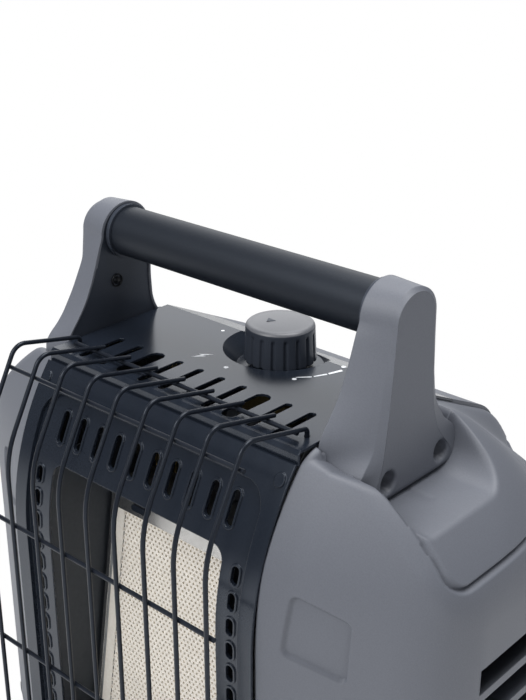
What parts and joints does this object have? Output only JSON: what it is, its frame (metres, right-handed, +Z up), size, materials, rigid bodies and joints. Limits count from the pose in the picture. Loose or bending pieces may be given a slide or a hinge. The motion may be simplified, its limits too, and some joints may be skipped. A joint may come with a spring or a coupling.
{
  "type": "portable propane heater",
  "caption": "Portable radiant propane heater: grey moulded shells, bowed dark steel front with wire guard, ceramic tile burner, top control knob and foam-grip carry handle.",
  "frame": {"origin": "centre of the bounding box on the ground, under the feet", "axes": "X runs across the heater from its left side to its right side as seen from the front, the burner and wire guard face -Y, Z is up"},
  "size_m": [0.37, 0.2471, 0.375],
  "materials": {
    "grey_plastic": "fine-grained moulded grey",
    "shoulder_plastic": "fine-grained moulded grey, smoother",
    "dark_steel": "satin dark blue-grey enamel",
    "dark_plastic": "dark moulded plastic",
    "foam": "dark foam sleeve",
    "rubber": "black rubber",
    "black_screw": "blackened steel",
    "bright_screw": "plain steel",
    "galvanised": "dull zinc-coated sheet",
    "stainless": "brushed stainless strip",
    "ceramic": "porous cream ceramic, matte, not a plastic",
    "brass": "plain brass",
    "chamber": "dark heat-proof enamel",
    "wire": "semi-gloss dark enamel on wire"
  },
  "bodies": {
    "housing": {"base_tray": "dark_plastic", "rubber_feet": "rubber", "front_panel": "dark_steel", "top_plate": "dark_steel", "side_frames": "galvanised", "left_shell": "grey_plastic", "right_shell": "grey_plastic", "left_shoulder": "shoulder_plastic", "right_shoulder": "shoulder_plastic", "rear_cover": "grey_plastic", "left_bracket": "grey_plastic", "right_bracket": "grey_plastic", "bracket_covers": "dark_plastic", "handle_tube": "galvanised", "foam_grip": "foam", "grip_collars": "dark_plastic", "bracket_screws": "black_screw", "cover_screws": "bright_screw", "gas_valve": "brass", "valve_nut": "bright_screw", "piezo_igniter": "dark_plastic", "burner_tile": "ceramic", "tile_clamp": "stainless", "burner_plenum": "galvanised", "heat_shroud": "chamber", "heat_deflector": "chamber", "venturi_tube": "galvanised", "gas_jet": "brass", "jet_bracket": "galvanised", "burner_pipe": "brass", "pilot_burner": "galvanised", "pilot_pipe": "brass", "spark_electrode": "ceramic", "thermocouple": "brass", "burner_stand": "galvanised", "regulator_yoke": "galvanised", "pivot_pin": "bright_screw", "inlet_fitting": "brass", "supply_pipe": "brass", "tilt_switch": "dark_plastic", "guard_uprights": "wire", "guard_crosswires": "wire", "guard_clips": "dark_steel", "shell_screws": "black_screw"},
    "turner": {"valve_stem": "brass"},
    "knob": {"control_knob": "dark_plastic", "push_washer": "bright_screw", "knob_spring": "bright_screw"},
    "regulator": {"regulator": "galvanised"}
  },
  "joints": [
    {"name": "knob_turn", "type": "hinge", "parent": "housing", "child": "turner", "pos_m": [0.003, 0.028, 0.289], "axis": [0, 0, 1], "range_deg": [0, 270]},
    {"name": "knob_push", "type": "slide", "parent": "turner", "child": "knob", "axis": [0, 0, -1], "range_m": [0, 0.004], "stiffness_N_per_m": 1200, "springref_m": -0.004, "deforming": ["knob_spring"]},
    {"name": "regulator_swing", "type": "hinge", "parent": "housing", "child": "regulator", "pos_m": [0, 0.068, 0.211], "axis": [-1, 0, 0], "range_deg": [0, 60]}
  ]
}
